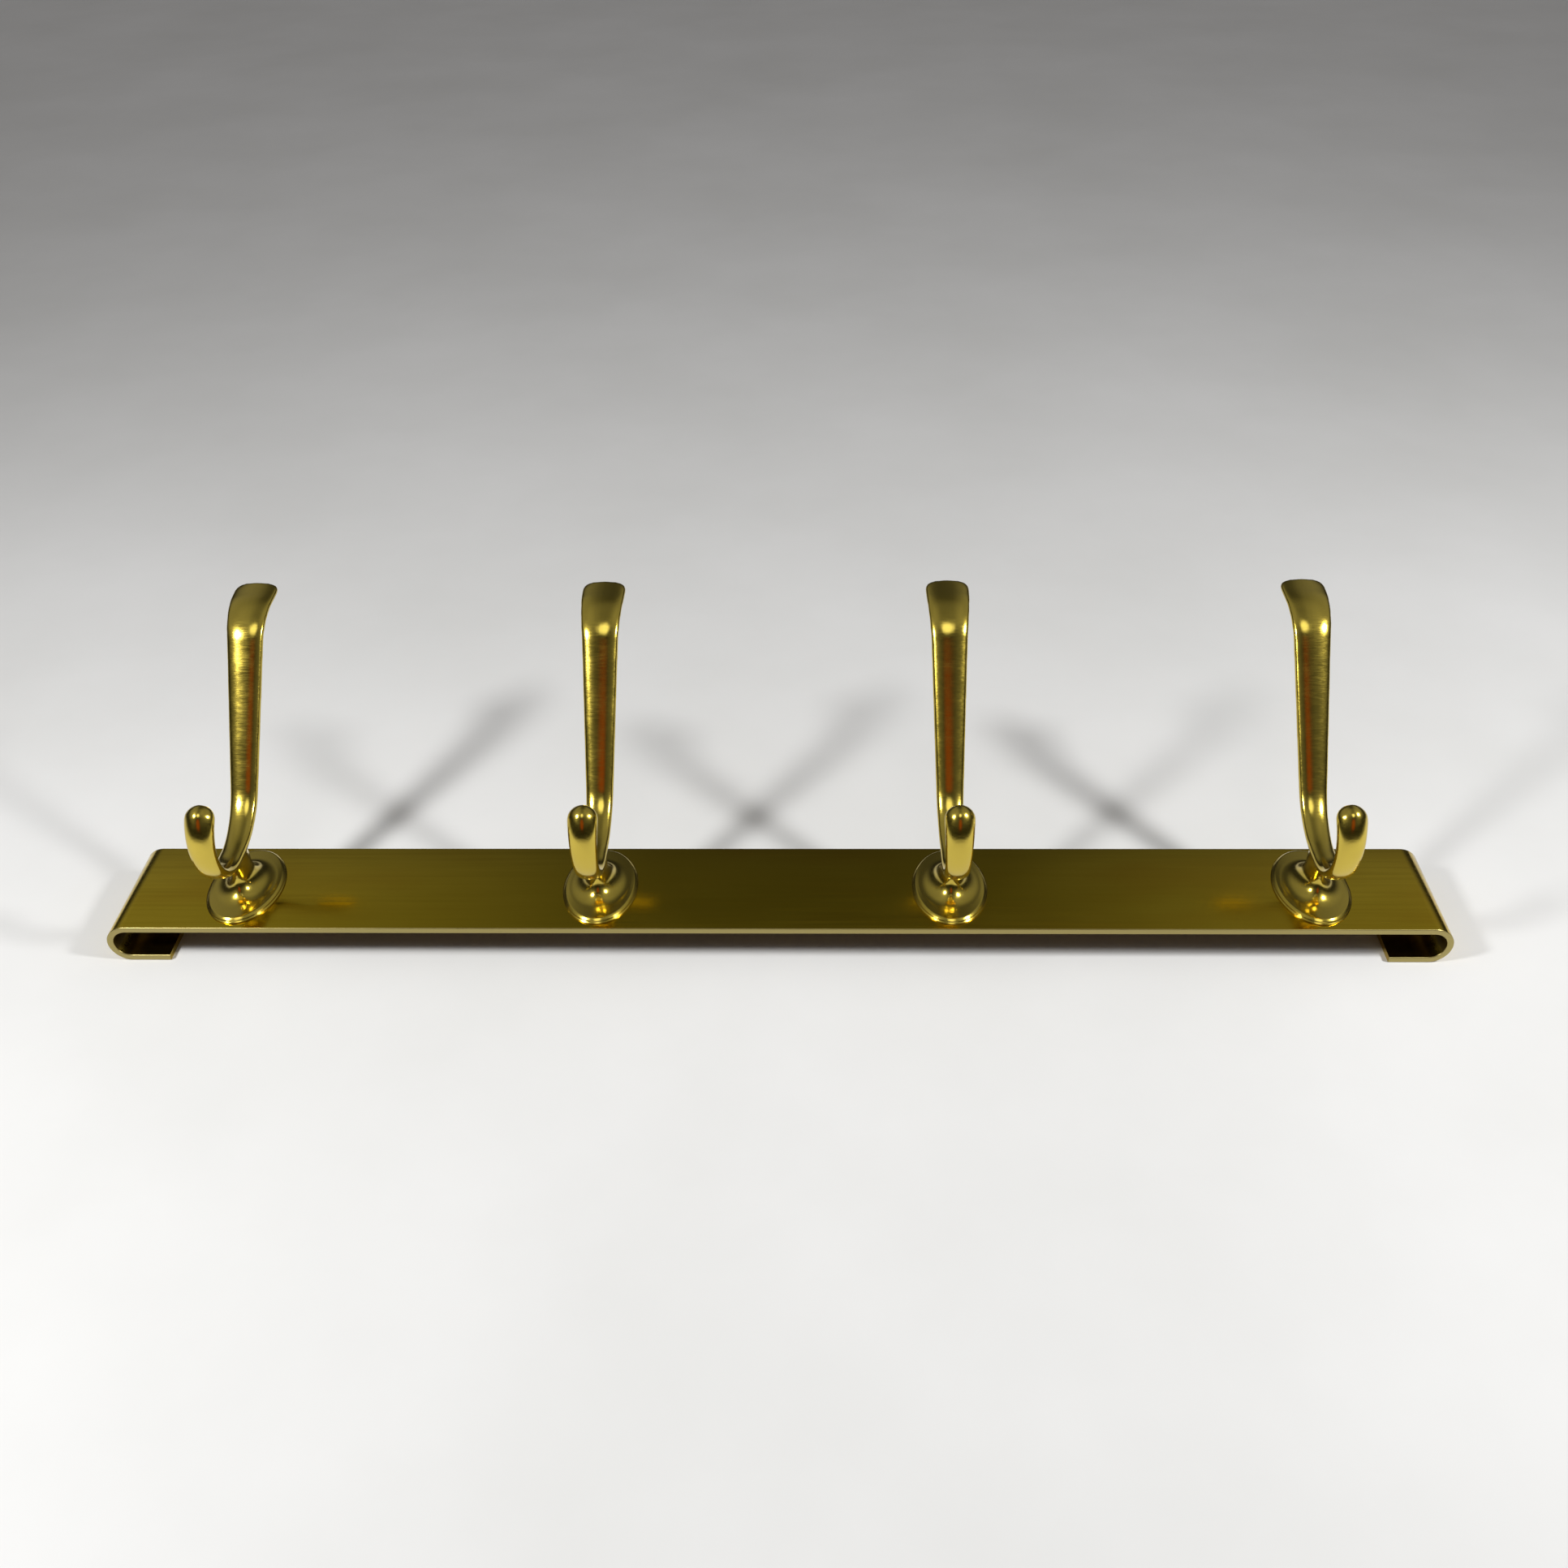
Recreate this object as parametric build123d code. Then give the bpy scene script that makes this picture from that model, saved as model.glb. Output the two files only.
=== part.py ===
"""Wall coat rack: a brass strip with rolled ends that carries four cast double hooks.

It lies on its back: +X runs along the strip, +Y points up the wall and +Z out of the wall.
The origin is on the wall plane, at the middle of the strip. All sizes are millimetres.
"""
import os
from math import cos, radians, sin
from build123d import *

# Strip: sheet with both ends rolled under, each ending in a flat lip on the wall
strip_length = 450
strip_width = 42
sheet = 2.2
roll_height = 14.6
lip_length = 20

# Keyhole in each lip, which drops over a wall screw
key_entry_d = 8
key_slot_w = 4.2
key_slot_run = 9

# Where the hooks stand: outer ones from the strip's ends, middle ones at a share of their distance
end_gap = 43.1
middle_share = 0.3277

# Rosette: oval foot plate with a bevelled edge and a face that rises a little to the neck
rosette_w = 25.6
rosette_l = 38
edge_h = 1.2
rim_h = 1.8
rim_w = 0.8
face_h = 2

# Neck: flares out at its foot and spreads again to a saddle under the strap
neck_w = 6
neck_l = 12
foot_r = 7.5
waist_h = 11
saddle_w = 6.4
saddle_l = 13.5
saddle_share = 0.1

# Centre line of the strap that forms both prongs, in side view
bend_h = 17.5
bend_y = -7
bend_flat = 3
lower_r = 16
lower_turn = 150
throat_r = 28
prong_lean = 52
prong_length = 51.5
tip_r = 20
tip_lean = 4
tip_length = 8

# Widths and thicknesses of the strap, and how far its four sides bow out
bulb_w = 9.3
bulb_t = 7.2
lower_w = 7.4
bend_w = 7.6
bend_t = 4.6
prong_w = 9.4
prong_t = 4.2
flare_w = 12.4
tip_w = 15
tip_t = 3.6
tip_end_w = 11.5
tip_round = 4
broad_bow = 0.8
side_bow = 0.3
oval_corner = 0.74

# Screw and washer behind each hook
screw_d = 4
screw_gap = 0.1
thread_reach = 7
hole_spare = 1
head_d = 7
head_h = 2.6
slot_w = 1.1
slot_depth = 1.1
washer_d = 9
washer_t = 0.8

outer_x = strip_length / 2 - end_gap
hook_xs = [share * outer_x for share in (-1, -middle_share, middle_share, 1)]
back_z = roll_height - sheet
hole_r = screw_d / 2 + screw_gap


def keyhole():
    """Outline of a keyhole: round entry with a narrow slot up the wall."""
    slot = Pos(0, key_slot_run / 2) * Rectangle(key_slot_w, key_slot_run)
    return Circle(key_entry_d / 2) + slot + Pos(0, key_slot_run) * Circle(key_slot_w / 2)


def back_strip():
    """Strip in its folded form, with a screw hole for each hook and a keyhole in each lip."""
    inside = SlotOverall(strip_length - 2 * sheet, roll_height - 2 * sheet)
    mouth = Pos(0, -roll_height / 2) * Rectangle(strip_length - 2 * lip_length, 2 * sheet)
    section = SlotOverall(strip_length, roll_height) - inside - mouth
    strip = extrude(Plane.XZ * Pos(0, roll_height / 2) * section, strip_width / 2, both=True)
    for x in hook_xs:
        strip -= Pos(x, 0, roll_height) * Cylinder(hole_r, 3 * sheet)
    key_x = strip_length / 2 - roll_height / 2 - (lip_length - roll_height / 2) / 2
    for side in (-1, 1):
        strip -= Pos(side * key_x) * extrude(keyhole(), 1.5 * sheet, both=True)
    return strip


def strap_curves():
    """Centre line of the strap in side view, as curves that run on from the bend both ways."""
    lower = JernArc((bend_y, bend_h), (-1, 0), lower_r, -lower_turn)
    flat = Line((bend_y, bend_h), (bend_y + bend_flat, bend_h))
    throat = JernArc(flat @ 1, (1, 0), throat_r, prong_lean)
    prong = PolarLine(throat @ 1, prong_length, prong_lean)
    tip_bend = JernArc(prong @ 1, prong % 1, tip_r, tip_lean - prong_lean)
    tip = PolarLine(tip_bend @ 1, tip_length, tip_lean)
    return lower, flat, throat, prong, tip_bend, tip


def strap_section(point, along, width, thick, roundness=0):
    """Section at a point of the side view: four bowed sides, or an oval at roundness 1."""
    w = width / 2
    t = thick / 2
    corner_w = (1 - roundness) * (w - side_bow * t / prong_t) + roundness * oval_corner * w
    corner_t = (1 - roundness) * (t - broad_bow * w / prong_w) + roundness * oval_corner * t
    outline = [
        ThreePointArc((-corner_w, -corner_t), (0, -t), (corner_w, -corner_t)),
        ThreePointArc((corner_w, -corner_t), (w, 0), (corner_w, corner_t)),
        ThreePointArc((corner_w, corner_t), (0, t), (-corner_w, corner_t)),
        ThreePointArc((-corner_w, corner_t), (-w, 0), (-corner_w, -corner_t)),
    ]
    where = Plane((0, point.X, point.Y), x_dir=(1, 0, 0), z_dir=(0, along.X, along.Y))
    return where * make_face(outline)


def strap():
    """Lower hook and upper prong as one strap, lofted from the bulb to the flared tip."""
    lower, flat, throat, prong, tip_bend, tip = strap_curves()
    sections = []
    for angle in (80, 55, 30, 0):
        back = bulb_w / 2 * (1 - sin(radians(angle)))
        size = cos(radians(angle))
        share = 1 - back / lower.length
        sections.append(strap_section(lower @ share, -(lower % share), size * bulb_w, size * bulb_t, 1))
    for share, w, t, roundness in (
        (0.72, (bulb_w + lower_w) / 2, (bulb_t + bend_t) / 2, 0.5),
        (0.55, lower_w, bend_t, 0),
        (0.2, lower_w, bend_t, 0),
    ):
        sections.append(strap_section(lower @ share, -(lower % share), w, t, roundness))
    sections.append(strap_section(flat @ 0.5, flat % 0.5, bend_w, bend_t))
    for curve, w_start, w_end, t_start, t_end, shares in (
        (throat, bend_w, prong_w, bend_t, prong_t, (0.5,)),
        (prong, prong_w, flare_w, prong_t, prong_t, (0, 0.33, 0.67, 1)),
        (tip_bend, flare_w, tip_w, prong_t, tip_t, (0.5, 1)),
    ):
        for share in shares:
            w = w_start + (w_end - w_start) * share
            t = t_start + (t_end - t_start) * share
            sections.append(strap_section(curve @ share, curve % share, w, t))
    for angle in (0, 30, 60, 85):
        back = tip_round * (1 - sin(radians(angle)))
        w = tip_end_w + (tip_w - tip_end_w) * cos(radians(angle))
        share = 1 - back / tip_length
        sections.append(strap_section(tip @ share, tip % share, w, tip_t))
    return loft(sections)


def oval(width, length, z):
    """Oval outline around the hook's axis, at a height above the strip's face."""
    return Pos(0, 0, z) * Ellipse(width / 2, length / 2)


def neck_oval(angle):
    """Oval of the neck's flared foot, whose side view is an arc from flat, 0, to upright, 90."""
    out = 2 * foot_r * (1 - sin(radians(angle)))
    return oval(neck_w + out, neck_l + out, face_h + foot_r * (1 - cos(radians(angle))))


def rosette():
    """Oval foot plate with an upright edge, a bevel and a face that rises to the neck."""
    rim = oval(rosette_w - 2 * rim_w, rosette_l - 2 * rim_w, rim_h)
    plate = extrude(oval(rosette_w, rosette_l, 0), edge_h)
    bevel = loft([oval(rosette_w, rosette_l, edge_h), rim])
    return plate + bevel + loft([rim, neck_oval(0)])


def neck():
    """Neck in two lofts: a flared foot, then a stem that ends in a saddle inside the strap."""
    foot = loft([neck_oval(angle) for angle in (0, 22, 45, 68, 90)])
    throat = strap_curves()[2]
    seat = throat @ saddle_share
    along = throat % saddle_share
    seat_plane = Plane((0, seat.X, seat.Y), x_dir=(1, 0, 0), z_dir=(0, -along.Y, along.X))
    saddle = seat_plane * Ellipse(saddle_w / 2, saddle_l / 2)
    return foot + loft([neck_oval(90), oval(neck_w, neck_l, waist_h), saddle])


def hook():
    """One cast double hook, standing on z = 0, with the hole for its screw."""
    depth = thread_reach + hole_spare
    hole = Cylinder(hole_r, depth, align=(Align.CENTER, Align.CENTER, Align.MIN))
    return rosette() + neck() + strap() - hole


def hook_screw():
    """Slotted cheese-head screw, with the face of its head on z = 0 and its shank upward."""
    length = washer_t + sheet + thread_reach
    shank = Cylinder(screw_d / 2, length, align=(Align.CENTER, Align.CENTER, Align.MIN))
    head = Cylinder(head_d / 2, head_h, align=(Align.CENTER, Align.CENTER, Align.MAX))
    slot = Pos(0, 0, -head_h) * Box(2 * head_d, slot_w, 2 * slot_depth)
    return shank + head - slot


def hook_washer():
    """Flat washer, with its upper face on z = 0."""
    ring = Circle(washer_d / 2) - Circle(hole_r)
    return extrude(ring, -washer_t)


def at_hooks(shape, z):
    """One copy of a shape behind every hook, as a group of separate solids."""
    return Compound([Pos(x, 0, z) * shape.solid() for x in hook_xs])


os.makedirs("parts", exist_ok=True)
export_step(back_strip(), "parts/back_strip.step")
one_hook = hook()
for number, x in enumerate(hook_xs, 1):
    export_step(Pos(x, 0, roll_height) * one_hook, f"parts/hook_{number}.step")
export_step(at_hooks(hook_washer(), back_z), "parts/hook_washers.step")
export_step(at_hooks(hook_screw(), back_z - washer_t), "parts/hook_screws.step")
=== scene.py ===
# %% [markdown]
# # A wall coat rack in brass
# A flat brass strip has both ends rolled under, and four cast double hooks stand on it.
# The CAD model is loaded as a fixed frame, so every piece made here goes where the CAD says.
# The lesson sets up the camera and the light first, then makes one piece and one finish at a time.

# %% Load the frame
from math import cos, pi, radians, sin, sqrt
import bmesh
import bpy
import numpy as np
from mathutils import Matrix, Vector


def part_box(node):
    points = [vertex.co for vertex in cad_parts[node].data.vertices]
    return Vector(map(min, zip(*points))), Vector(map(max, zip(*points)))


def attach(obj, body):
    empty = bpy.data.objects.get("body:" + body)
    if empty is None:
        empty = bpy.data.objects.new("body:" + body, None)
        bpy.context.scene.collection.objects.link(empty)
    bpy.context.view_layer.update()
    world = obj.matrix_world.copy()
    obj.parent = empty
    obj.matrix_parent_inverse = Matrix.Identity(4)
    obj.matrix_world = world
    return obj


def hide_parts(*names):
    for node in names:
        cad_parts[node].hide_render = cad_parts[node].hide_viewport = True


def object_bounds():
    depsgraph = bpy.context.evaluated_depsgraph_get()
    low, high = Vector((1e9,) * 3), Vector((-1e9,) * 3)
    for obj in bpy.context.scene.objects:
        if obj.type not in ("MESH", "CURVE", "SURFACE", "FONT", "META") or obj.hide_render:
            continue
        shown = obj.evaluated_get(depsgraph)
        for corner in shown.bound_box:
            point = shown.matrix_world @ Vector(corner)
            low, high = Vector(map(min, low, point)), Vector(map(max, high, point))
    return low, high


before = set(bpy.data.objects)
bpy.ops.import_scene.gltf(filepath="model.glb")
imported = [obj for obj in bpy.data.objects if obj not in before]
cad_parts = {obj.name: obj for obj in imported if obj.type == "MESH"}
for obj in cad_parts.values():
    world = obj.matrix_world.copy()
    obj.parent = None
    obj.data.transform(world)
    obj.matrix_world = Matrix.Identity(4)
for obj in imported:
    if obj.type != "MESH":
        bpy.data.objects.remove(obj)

MM = 0.001
cad_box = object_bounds()
print("CAD box in mm:", [[round(v / MM, 1) for v in corner] for corner in cad_box])

# %% [markdown]
# The photograph was taken with a wide lens from close by, so the rack's ends look smaller than
# its middle. The focal length is a usual one for a phone. The place and the tilt were worked out
# from the corners of the strip and the tips of the hooks. A matrix whose columns are the camera's
# right, its up and the reverse of its view direction holds that tilt, with no Euler angles to
# puzzle over.

# %% Camera
def aim_camera(place, pitch, yaw, roll, focal_px, frame_px):
    ahead = Vector((sin(yaw) * cos(pitch), cos(yaw) * cos(pitch), -sin(pitch)))
    level = Vector((cos(yaw), -sin(yaw), 0))
    upward = level.cross(ahead)
    right = cos(roll) * level + sin(roll) * upward
    top = cos(roll) * upward - sin(roll) * level
    data = bpy.data.cameras.new("camera")
    data.sensor_width = 36
    data.lens = 36 * focal_px / frame_px
    camera = bpy.data.objects.new("camera", data)
    axes = Matrix((right, top, -ahead)).transposed()
    camera.matrix_world = Matrix.Translation(place) @ axes.to_4x4()
    bpy.context.collection.objects.link(camera)
    bpy.context.scene.camera = camera
    return camera


camera_place = Vector((16, -407.2, 366.6)) * MM
pitch, yaw, roll = radians(37.06), radians(-1.71), radians(-1.07)
focal_px, frame_px = 1936, 1932
camera = aim_camera(camera_place, pitch, yaw, roll, focal_px, frame_px)
print("lens", round(camera.data.lens, 2), "mm")

# %% [markdown]
# Polished metal has almost no shading of its own: it shows what stands around it. So the
# surroundings matter as much as the lamps. The world here is dim in the middle and paler to the
# left and right, as between two white walls, and it fades towards the horizon and behind the
# camera. The strip mirrors that as a dark middle with golden ends. A soft glow above the camera
# lights the bends of the hooks, and a small warm patch lower down gives the long prongs a reddish
# streak. Every level depends on direction alone, so ramps and dot products are all it takes.

# %% Helpers for nodes
def add_node(tree, kind, **values):
    node = tree.nodes.new(kind)
    for name, value in values.items():
        if name in node.bl_rna.properties:
            setattr(node, name, value)
        else:
            node.inputs[name.replace("_", " ")].default_value = value
    return node


def remap(tree, value, low, high, to_low, to_high, kind="LINEAR"):
    step = add_node(tree, "ShaderNodeMapRange", clamp=True, interpolation_type=kind)
    for name, number in (("From Min", low), ("From Max", high), ("To Min", to_low), ("To Max", to_high)):
        step.inputs[name].default_value = number
    tree.links.new(value, step.inputs["Value"])
    return step.outputs["Result"]


def combine(tree, operation, *values):
    step = add_node(tree, "ShaderNodeMath", operation=operation)
    for socket, value in zip(step.inputs, values):
        if isinstance(value, (int, float)):
            socket.default_value = value
        else:
            tree.links.new(value, socket)
    return step.outputs["Value"]


def tint(tree, amount, low, high):
    mix = add_node(tree, "ShaderNodeMix", data_type="RGBA")
    colours = [socket for socket in mix.inputs if socket.type == "RGBA"]
    for socket, colour in zip(colours, (low, high)):
        if isinstance(colour, tuple):
            socket.default_value = (*colour, 1)
        else:
            tree.links.new(colour, socket)
    tree.links.new(amount, mix.inputs["Factor"])
    return [socket for socket in mix.outputs if socket.type == "RGBA"][0]


print("node helpers ready")


# %% World
def towards(tree, direction):
    dot = add_node(tree, "ShaderNodeVectorMath", operation="DOT_PRODUCT")
    tree.links.new(add_node(tree, "ShaderNodeTexCoord").outputs["Generated"], dot.inputs[0])
    dot.inputs[1].default_value = direction
    return dot.outputs["Value"]


def shade_world(wall_stops, glow_aim, glow_level, patch_aim, patch_colour, fill):
    world = bpy.data.worlds.new("two_pale_walls")
    world.use_nodes = True
    tree = world.node_tree
    split = add_node(tree, "ShaderNodeSeparateXYZ")
    tree.links.new(add_node(tree, "ShaderNodeTexCoord").outputs["Generated"], split.inputs[0])
    ramp = add_node(tree, "ShaderNodeValToRGB")
    while len(ramp.color_ramp.elements) < len(wall_stops):
        ramp.color_ramp.elements.new(1.0)
    for stop, (place, level) in zip(ramp.color_ramp.elements, wall_stops):
        stop.position = place
        stop.color = (level, level, level, 1)
    tree.links.new(combine(tree, "ABSOLUTE", split.outputs["X"]), ramp.inputs["Fac"])
    above = remap(tree, split.outputs["Z"], 0.2, 0.6, 0.03, 1.0, "SMOOTHSTEP")
    away = remap(tree, split.outputs["Y"], -0.75, -0.2, 0.35, 1.0, "SMOOTHSTEP")
    walls = combine(tree, "MULTIPLY", combine(tree, "MULTIPLY", ramp.outputs["Color"], above), away)
    overhead = remap(tree, split.outputs["Z"], 0.78, 0.98, 0.0, 0.1, "SMOOTHSTEP")
    glow = remap(tree, towards(tree, glow_aim), 0.975, 0.995, 0.0, glow_level, "SMOOTHSTEP")
    lights = combine(tree, "ADD", overhead, combine(tree, "ADD", glow, fill))
    patch = remap(tree, towards(tree, patch_aim), 0.96, 0.995, 0.0, 1.0, "SMOOTHSTEP")
    room = tint(tree, patch, combine(tree, "ADD", walls, lights), patch_colour)
    tree.links.new(room, tree.nodes["Background"].inputs["Color"])
    bpy.context.scene.world = world


shade_world(wall_stops=((0.0, 0.045), (0.12, 0.06), (0.36, 0.24), (0.6, 0.285), (1.0, 0.295)),
            glow_aim=(0, -0.45, 0.893), glow_level=1.9,
            patch_aim=(0, -0.86, 0.51), patch_colour=(0.33, 0.075, 0.012), fill=0.02)
bpy.context.scene.view_settings.view_transform = "Standard"
print("world: dim middle, paler sides, a glow above the camera and a warm patch below it")

# %% [markdown]
# Each hook throws two crossing shadows on the floor, one to the back right and one to the back
# left. Lines drawn from the shadows of the tips through the tips themselves meet at two places,
# about half a metre to each side and half a metre up. A square lamp stands at each of them.

# %% Lamps
def hang_lamp(name, place, aim, watts, size):
    data = bpy.data.lights.new(name, "AREA")
    data.energy = watts
    data.size = size
    lamp = bpy.data.objects.new(name, data)
    lamp.location = place
    lamp.rotation_euler = (aim - place).to_track_quat("-Z", "Y").to_euler()
    bpy.context.collection.objects.link(lamp)
    return lamp


rack_middle = Vector((0, 0.02, 0.03))
left_lamp = hang_lamp("left_lamp", Vector((-0.49, -0.24, 0.505)), rack_middle, watts=3.3, size=0.1)
right_lamp = hang_lamp("right_lamp", Vector((0.62, -0.17, 0.56)), rack_middle, watts=4.25, size=0.1)
print("lamps:", [round(lamp.data.energy, 1) for lamp in (left_lamp, right_lamp)], "W")

# %% [markdown]
# A procedural finish is a small network of nodes. Writing every node by hand takes many lines, so
# a few more helpers come first: a new finish, a noise of any stretch, the three Object axes and a
# bump. Object coordinates are metres in the CAD frame, so a brush line has the same size
# everywhere.

# %% Helpers for finishes
def new_finish(name, metallic=1.0):
    finish = bpy.data.materials.new(name)
    finish.use_nodes = True
    tree = finish.node_tree
    surface = tree.nodes["Principled BSDF"]
    surface.inputs["Metallic"].default_value = metallic
    return finish, tree, surface


def noise(tree, scale, detail=2.0, turn=(0, 0, 0)):
    place = add_node(tree, "ShaderNodeTexCoord")
    mapping = add_node(tree, "ShaderNodeMapping", Scale=scale, Rotation=turn)
    tree.links.new(place.outputs["Object"], mapping.inputs["Vector"])
    cloud = add_node(tree, "ShaderNodeTexNoise", Scale=1.0, Detail=detail, Roughness=0.55)
    tree.links.new(mapping.outputs["Vector"], cloud.inputs["Vector"])
    return cloud.outputs["Fac"]


def object_axes(tree):
    split = add_node(tree, "ShaderNodeSeparateXYZ")
    tree.links.new(add_node(tree, "ShaderNodeTexCoord").outputs["Object"], split.inputs[0])
    return split.outputs["X"], split.outputs["Y"], split.outputs["Z"]


def add_bump(tree, surface, relief, strength, distance):
    bump = add_node(tree, "ShaderNodeBump", Strength=strength, Distance=distance)
    tree.links.new(relief, bump.inputs["Height"])
    tree.links.new(bump.outputs["Normal"], surface.inputs["Normal"])


print("finish helpers ready")

# %% [markdown]
# The strip is rolled brass sheet that was polished along its length and has been handled since.
# Very fine noise, stretched along the strip, gives the brush lines, and a coarser one gives longer
# strokes; where they darken the colour they are partly a painted reflection of the hooks. A third,
# cut off near its peak, leaves a few scratches. Broad clouds change the gloss, as finger marks do,
# and warm brownish patches are a painted reflection of the surroundings. The cut edges are paler.
# The inner side was never polished, so it is dull, and its colour is painted dark as the shade
# inside the rolls and under the face.

# %% Finish of the strip
def strip_sides(tree, half_length, height, half_width):
    x, y, z = object_axes(tree)
    across = combine(tree, "ABSOLUTE", y)
    cut_edge = remap(tree, across, half_width - 0.35 * MM, half_width - 0.15 * MM, 0.0, 1.0)
    along_strip = combine(tree, "ABSOLUTE", x)
    beyond = combine(tree, "SUBTRACT", along_strip, half_length - height / 2)
    beyond = combine(tree, "MAXIMUM", beyond, 0.0)
    level = combine(tree, "SUBTRACT", z, height / 2)
    squares = combine(tree, "MULTIPLY_ADD", beyond, beyond, combine(tree, "MULTIPLY", level, level))
    reach = combine(tree, "SQRT", squares)
    # Inside of the rolls and underside of the face, above the lips: a duller gloss, and a colour painted
    # dark as shade
    dull_shaded_inner = remap(tree, reach, height / 2 - 1.9 * MM, height / 2 - 1.5 * MM, 1.0, 0.0)
    above_lip = remap(tree, z, 2.5 * MM, 5 * MM, 0.0, 1.0)
    dull_shaded_inner = combine(tree, "MULTIPLY", dull_shaded_inner, above_lip)
    return cut_edge, combine(tree, "MULTIPLY", dull_shaded_inner, combine(tree, "SUBTRACT", 1.0, cut_edge))


def strip_finish(half_length, height, half_width):
    finish, tree, metal = new_finish("brushed_strip_brass")
    lines = noise(tree, (22, 2600, 2600), 3.0)
    # Longer strokes: brush marks in the gloss; where they darken the colour they are partly a painted
    # reflection of the hooks
    strokes_and_reflection = noise(tree, (16, 760, 760), 3.0)
    clouds = noise(tree, (9, 24, 24), 3.0)
    scratch_bed = noise(tree, (14, 900, 900), 1.0, (0, 0, radians(1.5)))
    scratches = remap(tree, scratch_bed, 0.72, 0.76, 0.0, 1.0)
    # Warm brownish patches on the strip: a painted reflection of the surroundings
    patches = remap(tree, noise(tree, (14, 40, 40), 2.0), 0.5, 0.72, 0.0, 0.45)
    cut_edge, dull_shaded_inner = strip_sides(tree, half_length, height, half_width)
    gloss = remap(tree, lines, 0.3, 0.7, 0.10, 0.16)
    gloss = combine(tree, "ADD", gloss, remap(tree, clouds, 0.4, 0.7, 0.0, 0.05))
    gloss = combine(tree, "ADD", gloss, remap(tree, strokes_and_reflection, 0.35, 0.65, -0.03, 0.05))
    for mark, dulling in ((scratches, 0.08), (cut_edge, 0.15), (dull_shaded_inner, 0.3)):
        gloss = combine(tree, "MULTIPLY_ADD", mark, dulling, gloss)
    tree.links.new(gloss, metal.inputs["Roughness"])
    paleness = remap(tree, clouds, 0.3, 0.7, 0.0, 0.7)
    paleness = combine(tree, "ADD", paleness, remap(tree, lines, 0.3, 0.7, 0.0, 0.3))
    colour = tint(tree, paleness, (0.54, 0.385, 0.02), (0.66, 0.475, 0.035))
    for mark, brass in (
        # Darker strokes: partly brush marks, partly a painted reflection of the hooks
        (remap(tree, strokes_and_reflection, 0.45, 0.7, 0.0, 0.22), (0.40, 0.27, 0.01)),
        # Painted reflection of the surroundings, as warm brownish patches
        (patches, (0.50, 0.30, 0.015)),
        (cut_edge, (0.38, 0.315, 0.12)),
        # Painted shade: the inside of the rolls and the underside of the face
        (dull_shaded_inner, (0.11, 0.075, 0.02)),
    ):
        colour = tint(tree, mark, colour, brass)
    tree.links.new(colour, metal.inputs["Base Color"])
    relief = combine(tree, "SUBTRACT", remap(tree, lines, 0.2, 0.8, 0.0, 1.0), scratches)
    add_bump(tree, metal, relief, 0.05, 0.03 * MM)
    return finish


strip_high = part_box("back_strip")[1]
strip_brass = strip_finish(strip_high[0], strip_high[2], strip_high[1])
print("finish:", strip_brass.name, len(strip_brass.node_tree.nodes), "nodes")

# %% [markdown]
# The hooks are cast, filed and then polished to a satin gloss under a thin coat of lacquer. Fine
# brush lines run across the strap. Faint waves and small dimples are left from casting and filing
# and bend the highlights a little. A darker film stays at the rim of each foot, where the cloth
# doesn't reach.

# %% Finish of the hooks
def hook_finish(top_of_strip):
    finish, tree, metal = new_finish("satin_cast_brass")
    waves = noise(tree, (160, 160, 160), 2.0)
    grain = noise(tree, (260, 2400, 2400), 2.0)
    patches = noise(tree, (320, 320, 320), 4.0)
    dimples = noise(tree, (800, 800, 800), 3.0)
    gloss = remap(tree, grain, 0.3, 0.7, 0.12, 0.19)
    gloss = combine(tree, "ADD", gloss, remap(tree, waves, 0.4, 0.7, 0.0, 0.04))
    tree.links.new(gloss, metal.inputs["Roughness"])
    metal.inputs["Coat Weight"].default_value = 0.2
    metal.inputs["Coat Roughness"].default_value = 0.08
    height = object_axes(tree)[2]
    at_rim = remap(tree, height, top_of_strip, top_of_strip + 2 * MM, 1.0, 0.0)
    dull = combine(tree, "MULTIPLY", at_rim, remap(tree, patches, 0.35, 0.65, 0.0, 0.5))
    colour = tint(tree, dull, (0.60, 0.455, 0.07), (0.48, 0.345, 0.03))
    tree.links.new(colour, metal.inputs["Base Color"])
    relief = combine(tree, "MULTIPLY_ADD", dimples, 0.3, waves)
    relief = combine(tree, "MULTIPLY_ADD", grain, 0.25, relief)
    add_bump(tree, metal, relief, 0.25, 0.08 * MM)
    return finish


strip_top = strip_high[2]
hook_brass = hook_finish(strip_top)
print("finish:", hook_brass.name, len(hook_brass.node_tree.nodes), "nodes")

# %% [markdown]
# The screws and washers sit behind the strip, out of sight from the front. The screws are turned
# steel: noise that is squeezed along their axis gives fine tool marks around them, and a few rust
# spots tell their age. The washers are stamped brass that nobody polished, so they are duller and
# blotched.

# %% Finishes of the screws and washers
def screw_finish():
    finish, tree, metal = new_finish("turned_steel")
    marks = noise(tree, (500, 500, 4000), 2.0)
    spots = noise(tree, (700, 700, 700), 4.0)
    tree.links.new(remap(tree, marks, 0.3, 0.7, 0.28, 0.42), metal.inputs["Roughness"])
    rust = remap(tree, spots, 0.62, 0.72, 0.0, 0.6)
    colour = tint(tree, rust, (0.52, 0.51, 0.49), (0.30, 0.22, 0.16))
    tree.links.new(colour, metal.inputs["Base Color"])
    add_bump(tree, metal, marks, 0.2, 0.03 * MM)
    return finish


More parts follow.
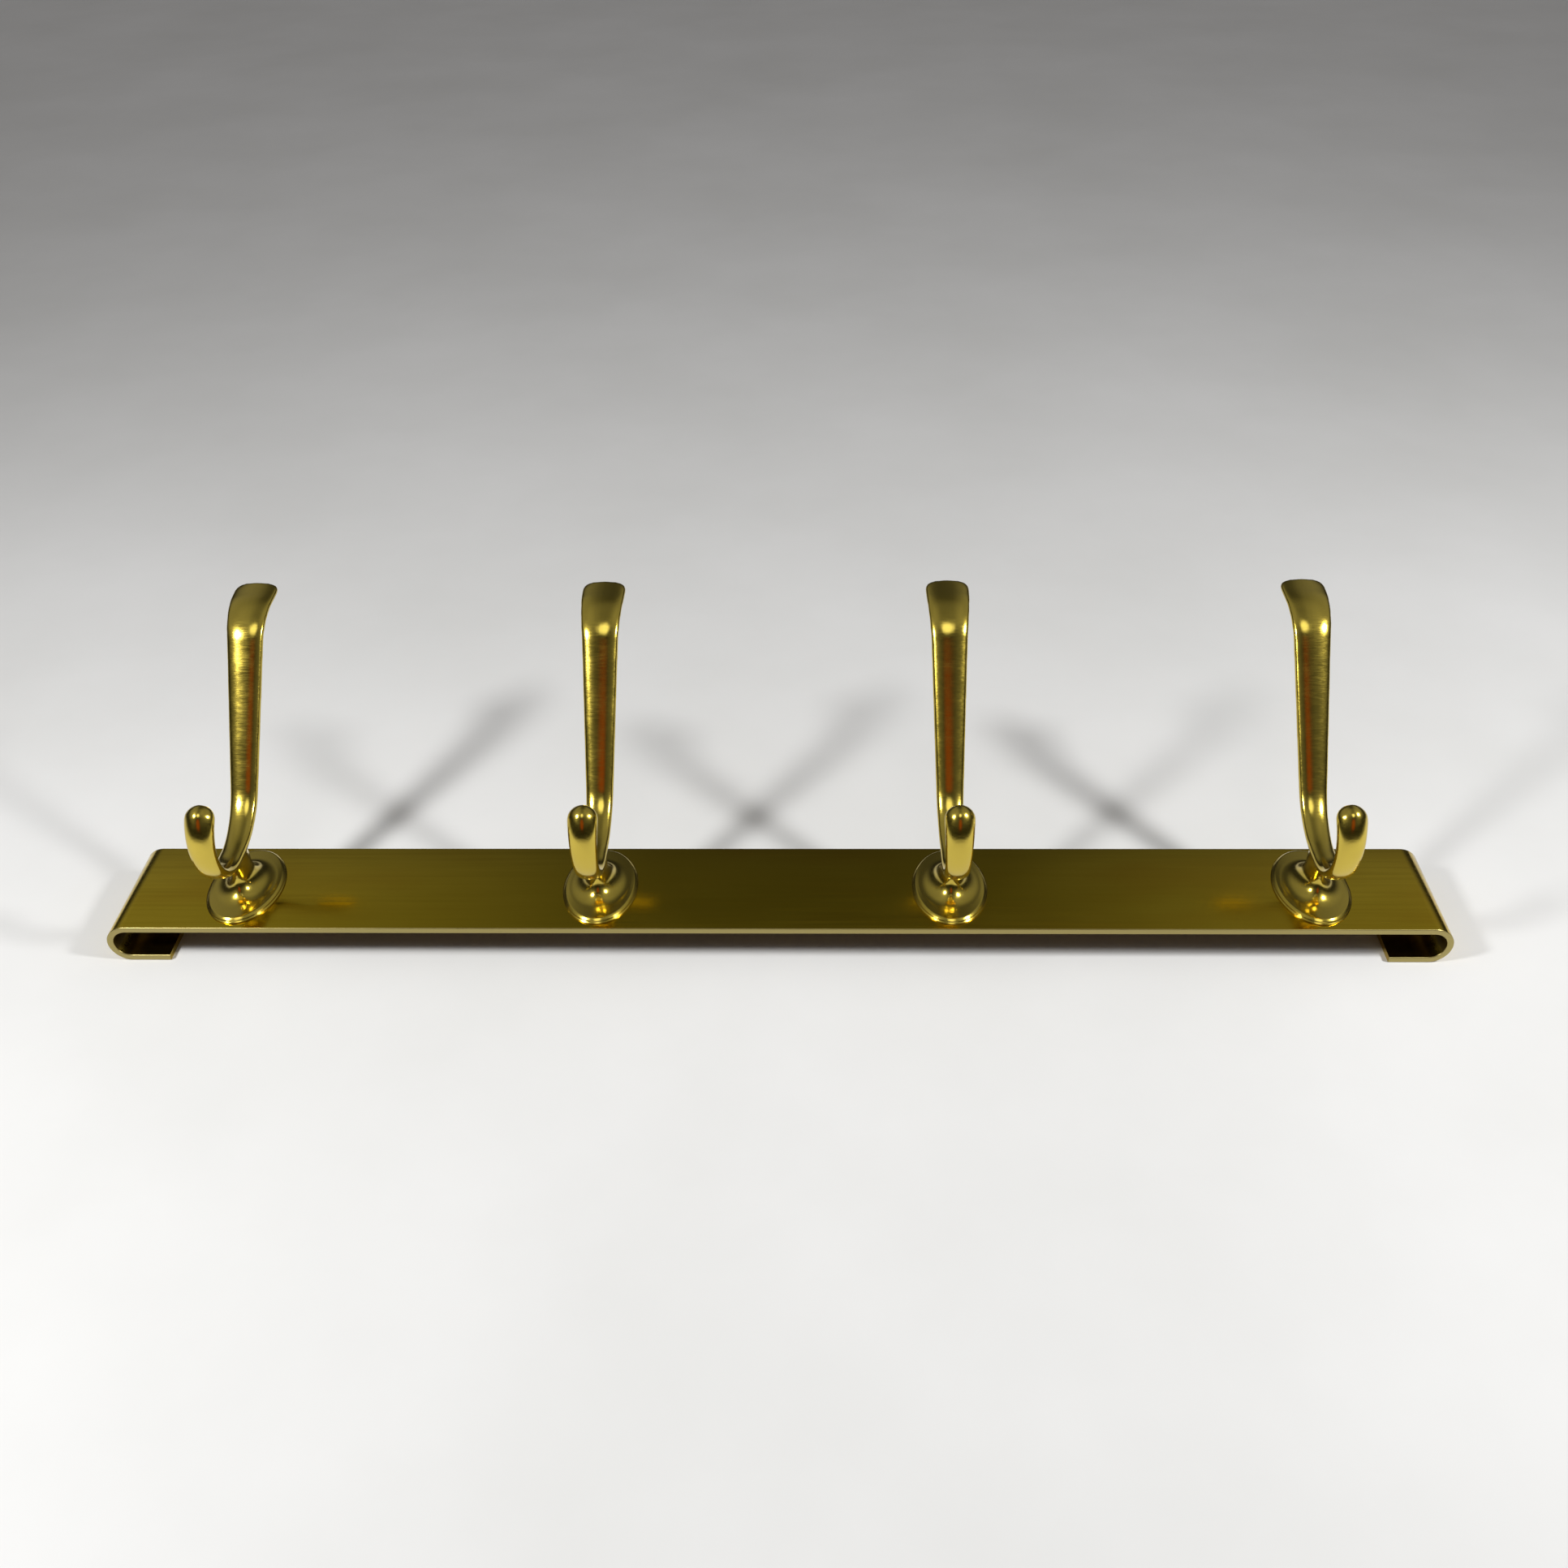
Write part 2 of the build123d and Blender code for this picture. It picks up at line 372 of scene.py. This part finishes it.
def washer_finish():
    finish, tree, metal = new_finish("stamped_washer_brass")
    blotches = noise(tree, (450, 450, 450), 4.0)
    grain = noise(tree, (2200, 2200, 2200), 2.0)
    tree.links.new(remap(tree, blotches, 0.35, 0.65, 0.30, 0.48), metal.inputs["Roughness"])
    colour = tint(tree, blotches, (0.66, 0.50, 0.17), (0.46, 0.32, 0.09))
    tree.links.new(colour, metal.inputs["Base Color"])
    add_bump(tree, metal, grain, 0.2, 0.03 * MM)
    return finish


screw_steel = screw_finish()
washer_brass = washer_finish()
print("finishes:", screw_steel.name, washer_brass.name)

# %% [markdown]
# The floor is a pale, smooth concrete or stone surface. It isn't part of the rack. Faint clouds keep it
# from looking like paper.

# %% Floor
def lay_floor(half, level):
    finish, tree, paint = new_finish("pale_floor_paint", metallic=0.0)
    clouds = remap(tree, noise(tree, (7, 7, 7), 5.0), 0.3, 0.7, 0.0, 1.0)
    colour = tint(tree, clouds, (0.74, 0.74, 0.725), (0.80, 0.80, 0.79))
    tree.links.new(colour, paint.inputs["Base Color"])
    paint.inputs["Roughness"].default_value = 0.7
    mesh = bpy.data.meshes.new("floor")
    corners = [(-half, -half, level), (half, -half, level), (half, half, level), (-half, half, level)]
    mesh.from_pydata(corners, [], [(0, 1, 2, 3)])
    mesh.materials.append(finish)
    floor = bpy.data.objects.new("floor", mesh)
    bpy.context.collection.objects.link(floor)
    return floor


floor = lay_floor(half=5.0, level=cad_box[0][2])
print("floor at z =", round(floor.data.vertices[0].co.z, 4))

# %% [markdown]
# Three pieces of this rack are a section carried along a path: the strip is a sheet that follows
# its fold, and a hook's arm and foot are ovals that change size on the way. Geometry Nodes can do
# all of them with one idea. The path is a chain of points, and each point stores how wide and how
# thick the section is there and which way its two axes point. Curve to Mesh makes the tube, and
# Set Position then puts every ring where its stored values say.

# %% A tree that carries a section along a path
def new_tree(name, sizes):
    tree = bpy.data.node_groups.new(name, "GeometryNodeTree")
    tree.interface.new_socket(name="Geometry", in_out="INPUT", socket_type="NodeSocketGeometry")
    for label, (kind, value) in sizes.items():
        socket = tree.interface.new_socket(name=label, in_out="INPUT", socket_type=kind)
        if value is not None:
            socket.default_value = value
    tree.interface.new_socket(name="Geometry", in_out="OUTPUT", socket_type="NodeSocketGeometry")
    return tree, tree.nodes.new("NodeGroupInput"), tree.nodes.new("NodeGroupOutput")


def stored(tree, name, kind):
    node = tree.nodes.new("GeometryNodeInputNamedAttribute")
    node.data_type = kind
    node.inputs["Name"].default_value = name
    return node.outputs["Attribute"]


def calculate(tree, operation, *values, vector=False):
    node = tree.nodes.new("ShaderNodeVectorMath" if vector else "ShaderNodeMath")
    node.operation = operation
    sockets = list(node.inputs)
    if operation == "SCALE":
        sockets = [node.inputs["Vector"], node.inputs["Scale"]]
    for socket, value in zip(sockets, values):
        if isinstance(value, (int, float)):
            socket.default_value = value
        else:
            tree.links.new(value, socket)
    return node.outputs["Vector" if vector else "Value"]


def remember_position(tree, geometry):
    node = tree.nodes.new("GeometryNodeCaptureAttribute")
    node.capture_items.new("VECTOR", "Place")
    tree.links.new(geometry, node.inputs["Geometry"])
    tree.links.new(tree.nodes.new("GeometryNodeInputPosition").outputs[0], node.inputs["Place"])
    return node.outputs["Geometry"], node.outputs["Place"]


def carry_section(tree, path, ring, bow=None):
    chain = tree.nodes.new("GeometryNodeMeshToCurve")
    tree.links.new(path, chain.inputs["Mesh"])
    line, centre = remember_position(tree, chain.outputs["Curve"])
    outline, corner = remember_position(tree, ring)
    tube = tree.nodes.new("GeometryNodeCurveToMesh")
    tube.inputs["Fill Caps"].default_value = True
    tree.links.new(line, tube.inputs["Curve"])
    tree.links.new(outline, tube.inputs["Profile Curve"])
    split = tree.nodes.new("ShaderNodeSeparateXYZ")
    tree.links.new(corner, split.inputs[0])
    power = calculate(tree, "DIVIDE", 2.0, stored(tree, "squareness", "FLOAT"))
    shaped = []
    for axis in "XY":
        size = calculate(tree, "POWER", calculate(tree, "ABSOLUTE", split.outputs[axis]), power)
        shaped.append(calculate(tree, "MULTIPLY", size, calculate(tree, "SIGN", split.outputs[axis])))
    wide = calculate(tree, "MULTIPLY", shaped[0], stored(tree, "width", "FLOAT"))
    thick = calculate(tree, "MULTIPLY", shaped[1], stored(tree, "thick", "FLOAT"))
    if bow is not None:
        sag = calculate(tree, "MULTIPLY", calculate(tree, "MULTIPLY", shaped[0], shaped[0]), bow)
        thick = calculate(tree, "MULTIPLY", thick, calculate(tree, "SUBTRACT", 1.0, sag))
    aside = calculate(tree, "SCALE", stored(tree, "side", "FLOAT_VECTOR"), wide, vector=True)
    across = calculate(tree, "SCALE", stored(tree, "across", "FLOAT_VECTOR"), thick, vector=True)
    offset = calculate(tree, "ADD", aside, across, vector=True)
    move = tree.nodes.new("GeometryNodeSetPosition")
    tree.links.new(tube.outputs["Mesh"], move.inputs["Geometry"])
    tree.links.new(calculate(tree, "ADD", centre, offset, vector=True), move.inputs["Position"])
    return move.outputs["Geometry"]


def chain_of(name, points, widths, thicks, squares, sides, acrosses):
    mesh = bpy.data.meshes.new(name)
    mesh.from_pydata([tuple(p) for p in points], [(i, i + 1) for i in range(len(points) - 1)], [])
    for label, values in (("width", widths), ("thick", thicks), ("squareness", squares)):
        layer = mesh.attributes.new(label, "FLOAT", "POINT")
        layer.data.foreach_set("value", np.asarray(values, dtype=np.float32))
    for label, values in (("side", sides), ("across", acrosses)):
        layer = mesh.attributes.new(label, "FLOAT_VECTOR", "POINT")
        layer.data.foreach_set("vector", np.asarray(values, dtype=np.float32).ravel())
    piece = bpy.data.objects.new(name, mesh)
    bpy.context.collection.objects.link(piece)
    return piece


def use_tree(piece, tree, **sizes):
    modifier = piece.modifiers.new(tree.name, "NODES")
    modifier.node_group = tree
    sockets = {item.name: item.identifier for item in tree.interface.items_tree if item.in_out == "INPUT"}
    for label, value in sizes.items():
        modifier[sockets[label.replace("_", " ")]] = value
    return modifier


def made_plain(piece):
    shape = piece.evaluated_get(bpy.context.evaluated_depsgraph_get())
    mesh = bpy.data.meshes.new_from_object(shape)
    for label in ("width", "thick", "squareness", "side", "across"):
        if label in mesh.attributes:
            mesh.attributes.remove(mesh.attributes[label])
    mesh.name = piece.name
    piece.modifiers.clear()
    piece.data = mesh
    return piece


print("section trees ready")

# %% [markdown]
# A hook's arm is one strap that runs from a round bulb, down and round the small hook, over the
# neck and up into the long prong with its spread tip. Its centre line is arcs and straight runs
# in side view. A walker that takes short steps and turns a little at each one lays that line out,
# and widths and thicknesses are blended between a few stations, so no joint shows.

# %% The line of the strap
def walk(start, heading, *legs, step=0.5):
    y, z = start
    trail = [(y, z, heading)]
    for length, turn in legs:
        count = max(2, round(length / step))
        for _ in range(count):
            heading += turn / count / 2
            y += length / count * cos(heading)
            z += length / count * sin(heading)
            heading += turn / count / 2
            trail.append((y, z, heading))
    return trail


def arc(radius, degrees):
    return radius * abs(radians(degrees)), radians(degrees)


bend = (-7.0, 17.5)
lower_r, lower_turn = 16.0, 150.0
flat, throat_r, lean, prong_length = 3.0, 28.0, 52.0, 51.5
tip_r, tip_lean, tip_length = 20.0, 4.0, 8.0
small_hook = walk(bend, pi, arc(lower_r, -lower_turn))
tip_legs = arc(tip_r, tip_lean - lean), (tip_length, 0)
prong = walk(bend, 0.0, (flat, 0), arc(throat_r, lean), (prong_length, 0), *tip_legs)
strap_line = [(y, z, heading + pi) for y, z, heading in reversed(small_hook[1:])] + prong
steps = np.hypot(*np.diff(np.array([(y, z) for y, z, _ in strap_line]), axis=0).T)
along = np.concatenate([[0], np.cumsum(steps)])
bend_at = along[len(small_hook) - 1]
print("strap length", round(along[-1], 1), "mm, bend at", round(bend_at, 1), "mm")


# %% Widths along the strap
def blend(places, values, soften, fine_step=0.1):
    fine = np.arange(places[0], places[-1] + fine_step / 2, fine_step)
    rough = np.interp(fine, places, values)
    reach = int(soften / fine_step)
    kernel = np.hanning(2 * reach + 3)[1:-1]
    padded = np.pad(rough, reach, mode="edge")
    return np.interp(along, fine, np.convolve(padded, kernel / kernel.sum(), mode="valid"))


end = along[-1]
prong_at = bend_at + flat + arc(throat_r, lean)[0]
tip_at = prong_at + prong_length
bulb_r, tip_round, tip_end_w, tip_w = 4.65, 4.0, 11.5, 15.1
# Each pair is a place along the strap and the value there
width_stations = ((0, 9.8), (6, 9.8), (12, 9.0), (19, 8.2), (bend_at - 6, 8.0), (bend_at + 6, 7.8),
                  (prong_at, 9.4), (tip_at, 12.4), (end - 7, 15.0), (end, tip_w))
thick_stations = ((0, 7.2), (5, 7.2), (12, 5.8), (19, 4.6), (bend_at + 6, 4.6), (prong_at, 4.2),
                  (tip_at, 4.2), (end - 7, 3.6), (end, 3.6))
square_stations = ((0, 2.0), (7, 2.0), (16, 3.2), (end, 3.2))
strap_width, strap_thick, strap_square = [
    blend(*zip(*stations), soften=4) for stations in (width_stations, thick_stations, square_stations)]
bulb_fall = np.sqrt(np.clip(1 - (1 - np.clip(along / bulb_r, 0, 1)) ** 2, 0.0004, 1))
left_to_tip = np.clip((end - along) / tip_round, 0, 1)
tip_rise = np.sqrt(np.clip(1 - (1 - left_to_tip) ** 2, 0, 1))
tip_fall = (tip_end_w + (tip_w - tip_end_w) * tip_rise) / tip_w
strap_width = strap_width * bulb_fall * tip_fall
strap_thick = strap_thick * bulb_fall
print("strap width", round(strap_width.min(), 2), "to", round(strap_width.max(), 2), "mm")

# %% [markdown]
# Every ring is a superellipse: a circle whose x and y are raised to a power, which squares it off.
# Its squareness is stored with the path. It is 2, a plain oval, at the bulb, in the neck and in
# the foot, and a little over 3 along the strap, whose bowed faces meet in soft arrises. The
# tree's own sizes are the number of points around and the bow of the broad faces.

# %% Tree for the arm and the foot of a hook
hook_tree, hook_in, hook_out = new_tree("oval_sections", {
    "Points around": ("NodeSocketInt", 64),
    "Bow": ("NodeSocketFloat", 0.0),
})
circle = hook_tree.nodes.new("GeometryNodeCurvePrimitiveCircle")
circle.inputs["Radius"].default_value = 1.0
hook_tree.links.new(hook_in.outputs["Points around"], circle.inputs["Resolution"])
path, bow = hook_in.outputs["Geometry"], hook_in.outputs["Bow"]
swept = carry_section(hook_tree, path, circle.outputs["Curve"], bow)
hook_tree.links.new(swept, hook_out.inputs["Geometry"])
print("tree", hook_tree.name, len(hook_tree.nodes), "nodes")


# %% Sweep the arm and the neck
def swept_ovals(name, rings, bow=0.0):
    ys, zs, widths, thicks, squares, leans = np.array(rings, dtype=float).T
    points = np.stack([0 * ys, ys, zs], axis=1) * MM
    sides = [(1, 0, 0)] * len(rings)
    acrosses = np.stack([0 * leans, np.cos(leans), np.sin(leans)], axis=1)
    chain = chain_of(name, points, widths * MM / 2, thicks * MM / 2, squares, sides, acrosses)
    use_tree(chain, hook_tree, Bow=bow)
    return made_plain(chain)


strap_rings = [(y, z, w, t, n, heading + pi / 2) for (y, z, heading), w, t, n
               in zip(strap_line, strap_width, strap_thick, strap_square)]
arm = swept_ovals("arm", strap_rings, bow=0.3)

# Stem of the neck: straight up from inside its flared foot, then a saddle at the strap
foot_w, foot_l, ledge = 25.6, 38.0, 0.42
rim_h, face_h, foot_r = 1.8, 2.0, 7.5
neck_w, neck_l, waist_h, seat_h = 6.0, 12.0, 11.0, 16.8
stem_start, tuck = 6.5, 0.2
saddle_y, saddle_lean, saddle_w, saddle_l = -1.6, radians(5), 0.3, 1.5
oval = 2.0
neck_rings = []
for z in np.linspace(stem_start, seat_h, 36):
    rise = np.clip((z - waist_h) / (seat_h - waist_h), 0, 1)
    smooth = rise * rise * (3 - 2 * rise)
    flare = foot_r * (1 - sqrt(1 - max(0.0, 1 - (z - face_h) / foot_r) ** 2))
    out = 2 * (flare - tuck * np.clip((10 - z) / 3, 0, 1))
    wide = neck_w + out + saddle_w * smooth
    deep = neck_l + out + saddle_l * smooth ** 2
    neck_rings.append((saddle_y * smooth, z, wide, deep, oval, saddle_lean * smooth))
neck = swept_ovals("neck", neck_rings)
print("arm", len(arm.data.polygons), "faces, neck", len(neck.data.polygons), "faces")

# %% [markdown]
# Casting makes the neck and the strap one piece, with no crease where they meet. A voxel remesh
# melts the two shells into one skin, and a few passes of smoothing then soften the arrises as
# filing and polishing do. The foot has crisp rings that a remesh would blur, so it stays a clean
# sweep that overlaps the neck at its waist.

# %% Melt the arm and the neck into one casting
def join_meshes(name, *pieces):
    shape = bmesh.new()
    for piece in pieces:
        shape.from_mesh(piece.data)
        bpy.data.objects.remove(piece)
    mesh = bpy.data.meshes.new(name)
    shape.to_mesh(mesh)
    shape.free()
    joined = bpy.data.objects.new(name, mesh)
    bpy.context.collection.objects.link(joined)
    return joined


def point_outwards(piece):
    shape = bmesh.new()
    shape.from_mesh(piece.data)
    bmesh.ops.remove_doubles(shape, verts=shape.verts, dist=1e-6)
    bmesh.ops.recalc_face_normals(shape, faces=shape.faces)
    shape.to_mesh(piece.data)
    shape.free()
    piece.data.polygons.foreach_set("use_smooth", [True] * len(piece.data.polygons))


point_outwards(arm)
point_outwards(neck)
casting = join_meshes("casting", arm, neck)
melt = casting.modifiers.new("melt", "REMESH")
melt.mode = "VOXEL"
melt.voxel_size = 0.4 * MM
melt.use_smooth_shade = True
polish = casting.modifiers.new("polish", "SMOOTH")
polish.factor = 0.5
polish.iterations = 5
made_plain(casting)
print("casting", len(casting.data.polygons), "faces")

# %% [markdown]
# The foot is an oval plate. From outside in it has a thin flange, a small step, a bevel, a nearly
# flat face, and a quarter round that turns up into the neck. Each of those is a few rings with
# their own size and height. The rings lie close together at the corners, which catch the light.

# %% Sweep the foot
def foot_rings():
    # Each pair is an inset from the outline and a height; the wall and the bevel start at the ledge
    flange = ((0.3, 0.0), (0.06, 0.04), (0.0, 0.12), (0.0, 0.36), (0.01, 0.4), (0.05, 0.44), (0.36, 0.67))
    wall = ((-0.02, 0.71), (0.0, 0.75), (0.0, 1.12), (0.01, 1.16), (0.05, 1.2))
    bevel = ((0.68, 1.68), (0.74, 1.72), (0.82, 1.76), (1.0, rim_h))
    edge = flange + tuple((ledge + inset, z) for inset, z in wall + bevel)
    pin = 0.05  # A tiny ring at the bottom and one at the top close the sweep
    rings = [(pin, pin, 0.0)]
    rings += [(foot_w - 2 * inset, foot_l - 2 * inset, z) for inset, z in edge]
    start_w, start_l = rings[-1][:2]
    flat_w, flat_l = neck_w + 2 * foot_r, neck_l + 2 * foot_r
    for share in np.linspace(0.1, 0.9, 9):
        wide = start_w + (flat_w - start_w) * share
        deep = start_l + (flat_l - start_l) * share
        rings.append((wide, deep, rim_h + (face_h - rim_h) * share))
    for angle in np.radians(np.linspace(3, 90, 30)):
        out = 2 * foot_r * (1 - sin(angle))
        rings.append((neck_w + out, neck_l + out, face_h + foot_r * (1 - cos(angle))))
    for rise in (1, 2):
        rings.append((neck_w - tuck * rise, neck_l - tuck * rise, face_h + foot_r + rise))
    return rings + [(pin, pin, rings[-1][2])]


foot = swept_ovals("foot", [(0, z, wide, deep, oval, 0) for wide, deep, z in foot_rings()])
point_outwards(foot)
print("foot", len(foot.data.polygons), "faces")

# %% [markdown]
# The foot and the casting overlap, and a hidden screw comes up into the foot. Boolean modifiers
# make one closed skin of the two, then cut the screw's hole. The cutters are cylinders and boxes
# made with bmesh, and the same two helpers serve the strip later.

# %% Join the foot to the casting and cut the screw's hole
def cutter_of(cylinders=(), boxes=()):
    shape = bmesh.new()
    for x, y, z, radius, depth in cylinders:
        spot = Matrix.Translation((x * MM, y * MM, z * MM))
        bmesh.ops.create_cone(shape, cap_ends=True, segments=48, radius1=radius * MM,
                              radius2=radius * MM, depth=depth * MM, matrix=spot)
    for x, y, z, wide, deep, high in boxes:
        spot = Matrix.Translation((x * MM, y * MM, z * MM))
        size = Matrix.Diagonal((wide * MM, deep * MM, high * MM, 1))
        bmesh.ops.create_cube(shape, size=1, matrix=spot @ size)
    mesh = bpy.data.meshes.new("cutter")
    shape.to_mesh(mesh)
    shape.free()
    cutter = bpy.data.objects.new("cutter", mesh)
    bpy.context.collection.objects.link(cutter)
    return cutter


def combine_solids(piece, other, operation):
    step = piece.modifiers.new(operation.lower(), "BOOLEAN")
    step.operation = operation
    step.solver = "EXACT"
    step.object = other
    made_plain(piece)
    bpy.data.objects.remove(other)


hole_r, hole_depth = 2.1, 8.0
one_hook = casting
combine_solids(one_hook, foot, "UNION")
combine_solids(one_hook, cutter_of([(0, 0, 0, hole_r, 2 * hole_depth)]), "DIFFERENCE")
print("one hook", len(one_hook.data.polygons), "faces")

# %% [markdown]
# Four equal hooks stand along the strip. A tree takes the place along the strip, the height and
# the finish, sets out a copy there, makes it real and gives it that finish. Each hook stays a
# piece of its own, because each replaces one CAD node.

# %% Tree that stands a hook on the strip
stand_tree, stand_in, stand_out = new_tree("stand_hook", {
    "Along strip": ("NodeSocketFloat", 0.0),
    "Height": ("NodeSocketFloat", 0.0),
    "Finish": ("NodeSocketMaterial", None),
})
spot = stand_tree.nodes.new("ShaderNodeCombineXYZ")
stand_tree.links.new(stand_in.outputs["Along strip"], spot.inputs["X"])
stand_tree.links.new(stand_in.outputs["Height"], spot.inputs["Z"])
dot = stand_tree.nodes.new("GeometryNodePoints")
stand_tree.links.new(spot.outputs[0], dot.inputs["Position"])
copies = stand_tree.nodes.new("GeometryNodeInstanceOnPoints")
stand_tree.links.new(dot.outputs["Points"], copies.inputs["Points"])
stand_tree.links.new(stand_in.outputs["Geometry"], copies.inputs["Instance"])
real = stand_tree.nodes.new("GeometryNodeRealizeInstances")
stand_tree.links.new(copies.outputs["Instances"], real.inputs["Geometry"])
dress = stand_tree.nodes.new("GeometryNodeSetMaterial")
stand_tree.links.new(real.outputs["Geometry"], dress.inputs["Geometry"])
stand_tree.links.new(stand_in.outputs["Finish"], dress.inputs["Material"])
stand_tree.links.new(dress.outputs["Geometry"], stand_out.inputs["Geometry"])

hook_names = ["hook_1", "hook_2", "hook_3", "hook_4"]
hook_xs = [(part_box(name)[0][0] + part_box(name)[1][0]) / 2 for name in hook_names]
for name, x in zip(hook_names, hook_xs):
    hook = bpy.data.objects.new("cast_" + name, one_hook.data)
    bpy.context.collection.objects.link(hook)
    use_tree(hook, stand_tree, Along_strip=x, Height=strip_top, Finish=hook_brass)
    made_plain(hook)
    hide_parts(name)
    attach(hook, "root")
    print(hook.name, "at", round(x / MM, 1), "mm,", len(hook.data.polygons), "faces")
bpy.data.objects.remove(one_hook)

# %% [markdown]
# The strip is one sheet. Its section, 42 mm wide and 2.2 mm thick with its edges just broken, is
# carried along the fold: a lip on the wall, a half turn, the long flat face, another half turn
# and the other lip. The rounded edges are small, but they give the bright line along the front.

# %% Tree for the folded sheet
sheet_tree, sheet_in, sheet_out = new_tree("folded_sheet", {
    "Width": ("NodeSocketFloat", 0.042),
    "Sheet": ("NodeSocketFloat", 0.0022),
    "Broken edge": ("NodeSocketFloat", 0.0003),
})
section = sheet_tree.nodes.new("GeometryNodeCurvePrimitiveQuadrilateral")
sheet_tree.links.new(sheet_in.outputs["Width"], section.inputs["Width"])
sheet_tree.links.new(sheet_in.outputs["Sheet"], section.inputs["Height"])
soft_section = sheet_tree.nodes.new("GeometryNodeFilletCurve")
soft_section.mode = "POLY"
soft_section.inputs["Count"].default_value = 4
sheet_tree.links.new(section.outputs["Curve"], soft_section.inputs["Curve"])
sheet_tree.links.new(sheet_in.outputs["Broken edge"], soft_section.inputs["Radius"])
folded = carry_section(sheet_tree, sheet_in.outputs["Geometry"], soft_section.outputs["Curve"])
sheet_tree.links.new(folded, sheet_out.inputs["Geometry"])
print("tree", sheet_tree.name, len(sheet_tree.nodes), "nodes")

# %% Fold the strip
half, width, sheet, height, lip, broken_edge = 225.0, 42.0, 2.2, 14.6, 20.0, 0.3
half_turn = (height - sheet) / 2 * pi, -pi
lip_leg = lip - height / 2, 0
line = walk((-(half - lip), sheet / 2), pi, lip_leg, half_turn, step=0.35)
line += walk(line[-1][:2], 0.0, (2 * half - height, 0), step=6)[1:]
line += walk(line[-1][:2], 0.0, half_turn, lip_leg, step=0.35)[1:]
# A scale of 1 and a squareness of 2 leave the sheet's section as it is
ones = [1.0] * len(line)
plain = [2.0] * len(line)
points = [(x * MM, 0, z * MM) for x, z, _ in line]
acrosses = [(-sin(heading), 0, cos(heading)) for *_, heading in line]
strip = chain_of("folded_strip", points, ones, ones, plain, [(0, 1, 0)] * len(line), acrosses)
use_tree(strip, sheet_tree, Width=width * MM, Sheet=sheet * MM, Broken_edge=broken_edge * MM)
made_plain(strip)
point_outwards(strip)
print("folded strip", len(strip.data.polygons), "faces")

# %% [markdown]
# Behind each hook a hole takes its screw, and each lip has a keyhole that drops over a wall screw.
# Round holes are cylinders and the slots are boxes. Cylinders and boxes overlap at the keyholes, so
# they cut in two goes: a cutter that crosses itself can leave scraps behind.

# %% Cut the holes
key_entry_r, key_slot_r, key_run = 4.0, 2.1, 9.0
key_x = half - height / 2 - (lip - height / 2) / 2
cut_depth, lip_cut_depth = 10, 8
round_holes = [(x / MM, 0, height, hole_r, cut_depth) for x in hook_xs]
for x in (-key_x, key_x):
    round_holes.append((x, 0, 0, key_entry_r, lip_cut_depth))
    round_holes.append((x, key_run, 0, key_slot_r, lip_cut_depth))
combine_solids(strip, cutter_of(round_holes), "DIFFERENCE")
slots = [(x, key_run / 2, 0, 2 * key_slot_r, key_run, lip_cut_depth) for x in (-key_x, key_x)]
combine_solids(strip, cutter_of(boxes=slots), "DIFFERENCE")
strip.data.materials.clear()
strip.data.materials.append(strip_brass)
strip.data.polygons.foreach_set("material_index", [0] * len(strip.data.polygons))
strip.data.set_sharp_from_angle(angle=radians(35))
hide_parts("back_strip")
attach(strip, "root")
print("strip", len(strip.data.polygons), "faces")

# %% [markdown]
# A slotted screw and a washer hold each hook from behind. Their shapes come from the CAD model
# and are right as they are, so only their finishes are set, and their meshes stay as they are.

# %% Dress the screws and washers
def dress_node(name, finish):
    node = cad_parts[name]
    node.data.materials.clear()
    node.data.materials.append(finish)
    return node


for name, finish in (("hook_screws", screw_steel), ("hook_washers", washer_brass)):
    node = dress_node(name, finish)
    print(node.name, len(node.data.polygons), "triangles,", finish.name)
